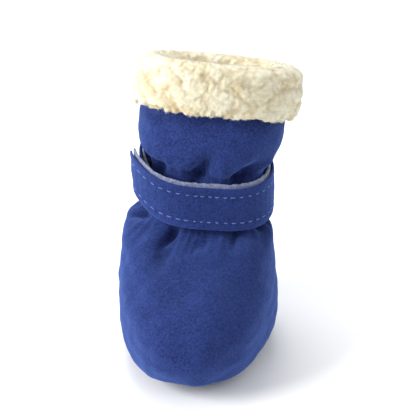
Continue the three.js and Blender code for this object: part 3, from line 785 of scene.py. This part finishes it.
class Nodes:
    """A short way to write a node tree: each call adds a node, sets its options and fills or links its
    inputs."""

    def __init__(self, tree):
        self.tree = tree

    def add(self, kind, inputs=None, **options):
        node = self.tree.nodes.new(kind)
        for key, value in options.items():
            setattr(node, key, value)
        for key, value in (inputs or {}).items():
            if isinstance(value, bpy.types.NodeSocket):
                self.tree.links.new(value, node.inputs[key])
            else:
                node.inputs[key].default_value = value
        return node

    def noise(self, vector, scale, detail=2.0, roughness=0.5):
        """A noise from 0 to 1, whose grains are about 1 over scale long."""
        inputs = {"Vector": vector, "Scale": scale, "Detail": detail, "Roughness": roughness}
        return self.add("ShaderNodeTexNoise", inputs).outputs["Fac"]

    def math(self, operation, first, second, clamp=False):
        node = self.add("ShaderNodeMath", {0: first, 1: second}, operation=operation, use_clamp=clamp)
        return node.outputs[0]

    def spread(self, value, low, high, to_low=0.0, to_high=1.0):
        inputs = {"Value": value, "From Min": low, "From Max": high, "To Min": to_low, "To Max": to_high}
        return self.add("ShaderNodeMapRange", inputs).outputs[0]

    def mix(self, share, first, second):
        node = self.add("ShaderNodeMix", {0: share, 6: first, 7: second}, data_type="RGBA")
        return node.outputs[2]

    def mark(self, name, low, high, share):
        """A mark of the mesh, spread from low to high over 0 to share."""
        value = self.add("ShaderNodeAttribute", attribute_name=name).outputs["Fac"]
        return self.spread(value, low, high, 0.0, share)


def new_group(name, inputs, outputs):
    """A node group with named sockets. inputs are names, kinds and defaults, and outputs names and kinds."""
    group = bpy.data.node_groups.new(name, "ShaderNodeTree")
    for key, kind, default in inputs:
        group.interface.new_socket(key, in_out="INPUT", socket_type=kind).default_value = default
    for key, kind in outputs:
        group.interface.new_socket(key, in_out="OUTPUT", socket_type=kind)
    return group, group.nodes.new("NodeGroupInput").outputs, group.nodes.new("NodeGroupOutput").inputs


def nap_group():
    """Brushed cloth: large patches where the nap lies one way, smaller smudges and a fine grain. Gives a
    colour, a height for the bump and a roughness."""
    if "Brushed nap" in bpy.data.node_groups:
        return bpy.data.node_groups["Brushed nap"]
    group, given, gives = new_group("Brushed nap", (
        ("Color", "NodeSocketColor", (0.1, 0.1, 0.1, 1)),
        ("Raised Color", "NodeSocketColor", (0.2, 0.2, 0.2, 1)),
        ("Patch Scale", "NodeSocketFloat", 60.0),
        ("Grain Scale", "NodeSocketFloat", 2600.0),
        ("Patchiness", "NodeSocketFloat", 0.5),
        ("Graininess", "NodeSocketFloat", 0.5),
        ("Depth", "NodeSocketFloat", 0.0),
    ), (("Color", "NodeSocketColor"), ("Height", "NodeSocketFloat"), ("Roughness", "NodeSocketFloat")))
    n = Nodes(group)
    place = n.add("ShaderNodeTexCoord").outputs["Object"]
    patches = n.spread(n.noise(place, given["Patch Scale"], 3.0, 0.6), 0.32, 0.68)
    smudge_scale = n.math("MULTIPLY", given["Patch Scale"], 7.0)
    smudges = n.spread(n.noise(place, smudge_scale, 2.0, 0.6), 0.3, 0.7)
    grain = n.noise(place, given["Grain Scale"], 2.0, 0.7)
    coarse = n.noise(place, n.math("MULTIPLY", given["Grain Scale"], 0.55), 2.0, 0.6)
    both = n.math("ADD", grain, coarse)
    clouds = n.math("MULTIPLY", n.math("ADD", patches, smudges), given["Patchiness"])
    flecks = n.math("MULTIPLY", n.spread(both, 0.78, 1.22), given["Graininess"])
    # Depth is painted shade: it pulls the colour towards the flat, darker nap.
    share = n.math("SUBTRACT", n.math("ADD", clouds, flecks), given["Depth"], clamp=True)
    group.links.new(n.mix(share, given["Color"], given["Raised Color"]), gives["Color"])
    group.links.new(both, gives["Height"])
    group.links.new(n.spread(grain, 0.2, 0.8, 0.82, 1.0), gives["Roughness"])
    return group


def new_material(name):
    material = bpy.data.materials.new(name)
    material.use_nodes = True
    material.node_tree.nodes.clear()
    n = Nodes(material.node_tree)
    shader = n.add("ShaderNodeBsdfPrincipled")
    output = n.add("ShaderNodeOutputMaterial")
    n.tree.links.new(shader.outputs[0], output.inputs[0])
    return material, n, shader


def napped(n, shader, colour, raised, patch, grain, patchiness, graininess, depth, relief):
    """Places the brushed nap in a material and feeds the shader. Gives the group's colour."""
    inputs = {"Color": (*colour, 1), "Raised Color": (*raised, 1), "Patch Scale": patch, "Grain Scale": grain,
        "Patchiness": patchiness, "Graininess": graininess, "Depth": depth}
    nap = n.add("ShaderNodeGroup", node_tree=nap_group())
    for key, value in inputs.items():
        if isinstance(value, bpy.types.NodeSocket):
            n.tree.links.new(value, nap.inputs[key])
        else:
            nap.inputs[key].default_value = value
    bump = n.add("ShaderNodeBump", {"Height": nap.outputs["Height"], "Strength": 1.0, "Distance": relief})
    n.tree.links.new(nap.outputs["Color"], shader.inputs["Base Color"])
    n.tree.links.new(nap.outputs["Roughness"], shader.inputs["Roughness"])
    n.tree.links.new(bump.outputs[0], shader.inputs["Normal"])
    return nap.outputs["Color"]


def suede_material(strap=False):
    """Napped blue microsuede, with painted shade in its troughs and under the cuff, and the bloom of its
    raised fibres as sheen.
    """
    name = "strap suede" if strap else "upper suede"
    material, n, shader = new_material(name)
    f = finishes()
    # Painted shade: the trough mark darkens creases, folds, stitch rows and the band under the cuff.
    depth = n.mark("trough", 0.05, 0.9, 0.4)
    colour = napped(n, shader, f.suede, f.suede_raised, 45.0, 2200.0, 0.13, 0.75, depth, 0.00016)
    if strap:
        worn = n.mix(n.mark("edge", 0.0, 1.0, 0.35), colour, (*f.suede_raised, 1))
        n.tree.links.new(worn, shader.inputs["Base Color"])
    shader.inputs["Sheen Weight"].default_value = 0.5
    shader.inputs["Sheen Roughness"].default_value = 0.55
    shader.inputs["Sheen Tint"].default_value = (0.2, 0.36, 1.0, 1.0)
    shader.inputs["Specular IOR Level"].default_value = 0.12
    return material


def fleece_material():
    """Cream sheepskin pile: light on its curl tips, warm and darker in the hollows, as warm roots and painted
    shade.
    """
    if "fleece pile" in bpy.data.materials:
        return bpy.data.materials["fleece pile"]
    material, n, shader = new_material("fleece pile")
    f = finishes()
    colour = napped(n, shader, f.fleece, f.fleece_tip, 110.0, 1500.0, 0.35, 0.3, 0.0, 0.0002)
    # Painted shade and warm roots: the hollow mark mixes towards the roots colour between the curls.
    hollow = n.mark("hollow", 0.2, 0.9, 0.4)
    mottled = n.mark("tone", 0.3, 0.9, 0.4)
    shaded = n.mix(n.math("ADD", hollow, mottled, clamp=True), colour, (*f.fleece_root_and_shade, 1))
    n.tree.links.new(shaded, shader.inputs["Base Color"])
    soften(shader)
    return material


def lock_material():
    """The loose hairs on the fleece, a shade lighter than its face."""
    if "fleece hair" in bpy.data.materials:
        return bpy.data.materials["fleece hair"]
    material, n, shader = new_material("fleece hair")
    f = finishes()
    napped(n, shader, f.fleece, f.fleece_tip, 140.0, 1500.0, 0.4, 0.3, 0.0, 0.0001)
    soften(shader)
    return material


def soften(shader):
    """Light goes a little way into wool and blooms on its fibres."""
    shader.inputs["Subsurface Weight"].default_value = 0.7
    shader.inputs["Subsurface Radius"].default_value = (1.0, 0.8, 0.55)
    shader.inputs["Subsurface Scale"].default_value = 0.003
    shader.inputs["Sheen Weight"].default_value = 0.08
    shader.inputs["Sheen Roughness"].default_value = 0.5
    shader.inputs["Sheen Tint"].default_value = (1.0, 0.86, 0.6, 1.0)
    shader.inputs["Specular IOR Level"].default_value = 0.05


# The plainer finishes: the names of their two colours, the scales of their patches and grain, how much of
# each shows, the depth of the relief in millimetres, the sheen and the specular level.
PLAIN_FINISHES = {
    "fastening tape": ("tape", "tape_raised", 200.0, 1300.0, 0.3, 0.7, 0.6, 0.2, 0.5),
    "thread": ("thread", "thread_raised", 300.0, 3500.0, 0.3, 0.5, 0.1, 0.2, 0.5),
    "sole rubber": ("rubber", "rubber_dusty", 90.0, 1800.0, 0.25, 0.25, 0.08, 0.0, 0.35),
    "insole felt": ("felt", "felt_raised", 120.0, 1500.0, 0.35, 0.7, 0.3, 0.2, 0.5),
}


def plain_finish(name):
    """Looped tape, twisted thread, moulded rubber or pressed felt, by its row of the table."""
    if name in bpy.data.materials:
        return bpy.data.materials[name]
    first, second, patch, grain, patchiness, graininess, relief, sheen, specular = PLAIN_FINISHES[name]
    material, n, shader = new_material(name)
    colours = getattr(finishes(), first), getattr(finishes(), second)
    napped(n, shader, *colours, patch, grain, patchiness, graininess, 0.0, relief * MM)
    shader.inputs["Sheen Weight"].default_value = sheen
    shader.inputs["Specular IOR Level"].default_value = specular
    return material


def paper_material(name, colour, roughness):
    """The studio's own paper-like surface, with the faintest cloudiness."""
    material, n, shader = new_material(name)
    place = n.add("ShaderNodeTexCoord").outputs["Object"]
    cloud = n.noise(place, 3.0)
    shade = tuple(0.985 * value for value in colour)
    n.tree.links.new(n.mix(cloud, (*shade, 1), (*colour, 1)), shader.inputs["Base Color"])
    shader.inputs["Roughness"].default_value = roughness
    shader.inputs["Specular IOR Level"].default_value = 0.2
    return material


def add_light(name, place, target, size, power):
    light = bpy.data.lights.new(name, "AREA")
    light.shape, light.size, light.energy = "DISK", size, power
    lamp = bpy.data.objects.new(name, light)
    lamp.location = place
    lamp.rotation_euler = (Vector(target) - Vector(place)).to_track_quat("-Z", "Y").to_euler()
    bpy.context.scene.collection.objects.link(lamp)


def build_stage():
    """A pale floor, soft light from the left and above, and the camera at the photo's angle to the boot."""
    view = bpy.context.scene.dog_boot_view
    low, high = CAD_BOX
    centre = (low + high) / 2
    reach = 3.0
    quad = [(-reach, -reach, 0), (reach, -reach, 0), (reach, reach, 0), (-reach, reach, 0)]
    floor = bpy.data.objects.new("floor", new_mesh("floor", quad, [[0, 1, 2, 3]]))
    floor.data.materials.append(paper_material("floor paper", (0.94, 0.94, 0.94), 0.9))
    bpy.context.scene.collection.objects.link(floor)

    add_light("key light", (-0.9, -0.35, 0.55), centre, 0.6, view.key_power)
    add_light("fill light", (0.7, -0.5, 0.8), centre, 0.7, view.fill_power)
    add_light("back light", (-0.15, 0.65, 0.9), centre, 0.6, view.back_power)
    world = bpy.data.worlds.new("studio")
    world.use_nodes = True
    world.node_tree.nodes["Background"].inputs["Color"].default_value = (0.95, 0.97, 1.0, 1)
    world.node_tree.nodes["Background"].inputs["Strength"].default_value = view.sky
    bpy.context.scene.world = world
    bpy.context.scene.view_settings.view_transform = "Standard"

    back = Vector((math.sin(view.azimuth) * math.cos(view.elevation),
        -math.cos(view.azimuth) * math.cos(view.elevation), math.sin(view.elevation)))
    camera = bpy.data.objects.new("camera", bpy.data.cameras.new("camera"))
    camera.location = centre + back * view.distance
    camera.rotation_euler = (-back).to_track_quat("-Z", "Y").to_euler()
    camera.data.lens = camera.data.sensor_width * view.distance / view.span
    camera.data.clip_start = 0.01
    bpy.context.scene.collection.objects.link(camera)
    bpy.context.scene.camera = camera


def srgb(red, green, blue):
    """A colour given from 0 to 255 as it looks on a screen, as the linear numbers that a shader takes."""
    shares = np.array([red, green, blue]) / 255
    linear = np.where(shares <= 0.04045, shares / 12.92, ((shares + 0.055) / 1.055) ** 2.4)
    return tuple(float(value) for value in linear)


def length(name, millimetres, description):
    return FloatProperty(name=name, description=description, default=millimetres * MM, unit="LENGTH",
        precision=4)


def angle_of(name, degrees, description):
    return FloatProperty(name=name, description=description, default=math.radians(degrees), subtype="ANGLE")


def colour_of(name, colour, description):
    return FloatVectorProperty(name=name, description=description, default=srgb(*colour), subtype="COLOR",
        min=0, max=1)


class DogBootSizes(bpy.types.PropertyGroup):
    """The boot's own sizes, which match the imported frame."""

    foot_length: length("Foot length", 76, "Length of the foot over its toe and heel")
    foot_width: length("Foot width", 53, "Width of the foot at the ball")
    ankle_height: length("Ankle height", 42.5, "Height of the ankle over the floor")
    upper_wall: length("Upper wall", 2, "Thickness of suede and its fleece backing")
    suede_wall: length("Suede wall", 1, "Thickness of the suede alone")
    lining_pile: length("Lining pile", 2, "Depth of the fleece inside the foot and shaft")
    waist_width: length("Waist width", 37, "Width under the strap")
    waist_depth: length("Waist depth", 32, "Depth under the strap")
    shaft_width: length("Shaft width", 48.5, "Width of the shaft")
    shaft_depth: length("Shaft depth", 34, "Depth of the shaft")
    shaft_height: length("Shaft height", 42.5, "Height of the rim over the ankle")
    shaft_setback: length("Shaft setback", 18.5, "How far the rim stands behind the ankle")
    shaft_sway: length("Shaft sway", 3.2, "How far the rim stands to the left")
    collar_tilt: angle_of("Collar tilt", 25, "How far the rim leans back")
    collar_roll: angle_of("Collar roll", 3, "How far the rim leans to the side")
    fold_depth: length("Fold depth", 3.4, "Depth of the deepest gathers")
    sole_thickness: length("Sole thickness", 2.2, "Thickness of the rubber sole")
    sole_margin: length("Sole margin", 0.5, "How far the sole stands out past the seam")
    sole_edge: length("Sole edge", 0.8, "Rounding of the sole's edge")
    toe_spring: length("Toe spring", 2.8, "How far the toe lifts off the floor")
    insole_thickness: length("Insole thickness", 2, "Thickness of the felt insole")
    grip_pitch: length("Grip pitch", 3.2, "Distance between the sole's dots")
    grip_radius: length("Grip radius", 0.95, "Radius of a dot")
    grip_height: length("Grip height", 0.4, "Height of a dot")
    strap_width: length("Strap width", 14.3, "Width of the strap")
    strap_face: length("Strap face", 0.8, "Thickness of the strap's suede")
    strap_backing: length("Strap tape", 0.9, "Thickness of the fastening tape")
    strap_backing_rise: length("Tape rise", 0.8, "How far the tape stands over the suede's top edge")
    strap_ease: length("Strap ease", 0.4, "How far the strap's top edge stands off the upper")
    strap_slack: length("Strap slack", 1, "How far it stands off where it gapes")
    strap_slack_at: angle_of("Slack at", -45, "Where the strap gapes, from the toe")
    strap_overlap: length("Strap overlap", 11, "How far the strap's end laps over its start")
    strap_tip: angle_of("Strap tip", -77, "Where the strap ends, from the toe")
    strap_tip_lift: length("Tip lift", 0.5, "How far the tip stands off")
    strap_tip_rise: length("Tip rise", 1, "How far the tip climbs over the strap's line")
    strap_start_cut: length("Start cut", 2.6, "How much lower the strap's hidden start is cut")
    strap_roll: angle_of("Strap roll", 8, "How far the strap slopes to one side")
    stitch_pitch: length("Stitch pitch", 2.7, "Distance between stitches")
    stitch_inset: length("Stitch inset", 2.8, "Distance of the stitches from the strap's edge")
    stitch_share: FloatProperty(name="Stitch share", description="Share of the pitch that shows as thread",
        default=0.62, min=0.2, max=0.95)
    thread_thickness: length("Thread thickness", 0.38, "Thickness of the thread")
    cuff_drop: length("Cuff drop", 12, "How far the cuff turns down outside")
    cuff_facing: length("Cuff facing", 14, "How far the cuff reaches down inside")
    cuff_pile: length("Cuff pile", 4.2, "Thickness of the fleece outside")
    cuff_lining: length("Cuff lining", 4.4, "Thickness of the fleece inside")
    cuff_crown: length("Cuff crown", 4.6, "Height of the fleece over the rim")
    curl_relief: length("Curl relief", 1.3, "Depth of the fleece's curls")
    hair_length: length("Hair length", 1.2, "Length of the fleece's loose hairs")
    hair_thickness: length("Hair thickness", 0.08, "Thickness of a loose hair")
    gap: length("Gap", 0.3, "Clearance between neighbouring pieces")
    around: IntProperty(name="Upper points", description="Points round the upper", default=316, min=48)
    cuff_around: IntProperty(name="Cuff points", description="Points round the cuff", default=440, min=48)


class DogBootFinishes(bpy.types.PropertyGroup):
    """The colours of the boot's cloths, rubber and thread."""

    suede: colour_of("Suede", (15, 24, 66), "Suede where its nap lies flat")
    suede_raised: colour_of("Raised suede", (42, 58, 118), "Suede where its nap stands up")
    fleece: colour_of("Fleece", (206, 198, 168), "Fleece in its body")
    fleece_tip: colour_of("Fleece tips", (236, 233, 216), "Fleece on its curls")
    # The pile's warm roots, and also painted shade where the hollow mark mixes towards it.
    fleece_root_and_shade: colour_of("Fleece roots", (188, 166, 118), "Fleece in its hollows")
    tape: colour_of("Tape", (92, 98, 128), "Fastening tape in its hollows")
    tape_raised: colour_of("Tape loops", (136, 143, 172), "Loops of the fastening tape")
    thread: colour_of("Thread", (58, 82, 150), "Thread in its twist")
    thread_raised: colour_of("Thread strands", (100, 130, 200), "Strands of the thread")
    rubber: colour_of("Rubber", (34, 34, 37), "Sole")
    rubber_dusty: colour_of("Dusty rubber", (66, 65, 66), "Sole where it is scuffed")
    felt: colour_of("Felt", (80, 74, 62), "Insole")
    felt_raised: colour_of("Felt fibres", (122, 114, 98), "Stray fibres of the insole")


class DogBootView(bpy.types.PropertyGroup):
    """The studio: where the camera stands and how strong the lights are."""

    azimuth: angle_of("Azimuth", 6.6, "How far the camera stands to the boot's left of straight ahead")
    elevation: angle_of("Elevation", 33, "How far the camera looks down")
    distance: FloatProperty(name="Distance", description="Distance of the camera", default=1.3, unit="LENGTH")
    span: FloatProperty(name="Span", description="Width of the view at the boot", default=0.14, unit="LENGTH")
    key_power: FloatProperty(name="Key", description="Power of the light from the left", default=13.5)
    fill_power: FloatProperty(name="Fill", description="Power of the light from the right", default=1.8)
    back_power: FloatProperty(name="Back", description="Power of the light from behind", default=7)
    sky: FloatProperty(name="Sky", description="Strength of the light from all round", default=0.7)


class DOGBOOT_OT_upper(bpy.types.Operator):
    """Build the suede upper with its gathers, creases and back seam"""

    bl_idname = "dog_boot.upper"
    bl_label = "Suede Upper"

    def execute(self, context):
        build_upper()
        return {"FINISHED"}


class DOGBOOT_OT_lining(bpy.types.Operator):
    """Build the fleece lining of the foot and shaft"""

    bl_idname = "dog_boot.lining"
    bl_label = "Fleece Lining"

    def execute(self, context):
        build_lining()
        return {"FINISHED"}


class DOGBOOT_OT_cuff(bpy.types.Operator):
    """Build the turned-down fleece cuff and its loose hairs"""

    bl_idname = "dog_boot.cuff"
    bl_label = "Fleece Cuff"

    def execute(self, context):
        build_cuff()
        return {"FINISHED"}


class DOGBOOT_OT_strap(bpy.types.Operator):
    """Build the ankle strap: its suede face, fastening tape and stitches"""

    bl_idname = "dog_boot.strap"
    bl_label = "Ankle Strap"

    def execute(self, context):
        build_strap()
        return {"FINISHED"}


class DOGBOOT_OT_sole(bpy.types.Operator):
    """Build the rubber sole with its grip dots"""

    bl_idname = "dog_boot.sole"
    bl_label = "Rubber Sole"

    def execute(self, context):
        build_sole()
        return {"FINISHED"}


class DOGBOOT_OT_insole(bpy.types.Operator):
    """Build the felt insole"""

    bl_idname = "dog_boot.insole"
    bl_label = "Felt Insole"

    def execute(self, context):
        build_insole()
        return {"FINISHED"}


class DOGBOOT_OT_stage(bpy.types.Operator):
    """Build the floor, the lights and the camera"""

    bl_idname = "dog_boot.stage"
    bl_label = "Stage"

    def execute(self, context):
        build_stage()
        return {"FINISHED"}


GROUPS = {"dog_boot_sizes": DogBootSizes, "dog_boot_finishes": DogBootFinishes, "dog_boot_view": DogBootView}
OPERATORS = (DOGBOOT_OT_upper, DOGBOOT_OT_lining, DOGBOOT_OT_cuff, DOGBOOT_OT_strap, DOGBOOT_OT_sole,
    DOGBOOT_OT_insole, DOGBOOT_OT_stage)


class DOGBOOT_PT_panel(bpy.types.Panel):
    """Sizes, finishes and steps of the dog boot"""

    bl_idname = "DOGBOOT_PT_panel"
    bl_label = "Dog Boot"
    bl_space_type = "VIEW_3D"
    bl_region_type = "UI"
    bl_category = "Dog Boot"

    def draw(self, context):
        for operator in OPERATORS:
            self.layout.operator(operator.bl_idname)
        for key, group in GROUPS.items():
            box = self.layout.box()
            for each in group.__annotations__:
                box.prop(getattr(context.scene, key), each)


CLASSES = (*GROUPS.values(), *OPERATORS, DOGBOOT_PT_panel)


def register():
    for each in CLASSES:
        bpy.utils.register_class(each)
    for key, group in GROUPS.items():
        setattr(bpy.types.Scene, key, PointerProperty(type=group))


def unregister():
    for key in GROUPS:
        delattr(bpy.types.Scene, key)
    for each in reversed(CLASSES):
        bpy.utils.unregister_class(each)


def main():
    register()
    bpy.ops.dog_boot.upper()
    bpy.ops.dog_boot.lining()
    bpy.ops.dog_boot.cuff()
    bpy.ops.dog_boot.strap()
    bpy.ops.dog_boot.sole()
    bpy.ops.dog_boot.insole()
    bpy.ops.dog_boot.stage()


if __name__ == "__main__":
    main()
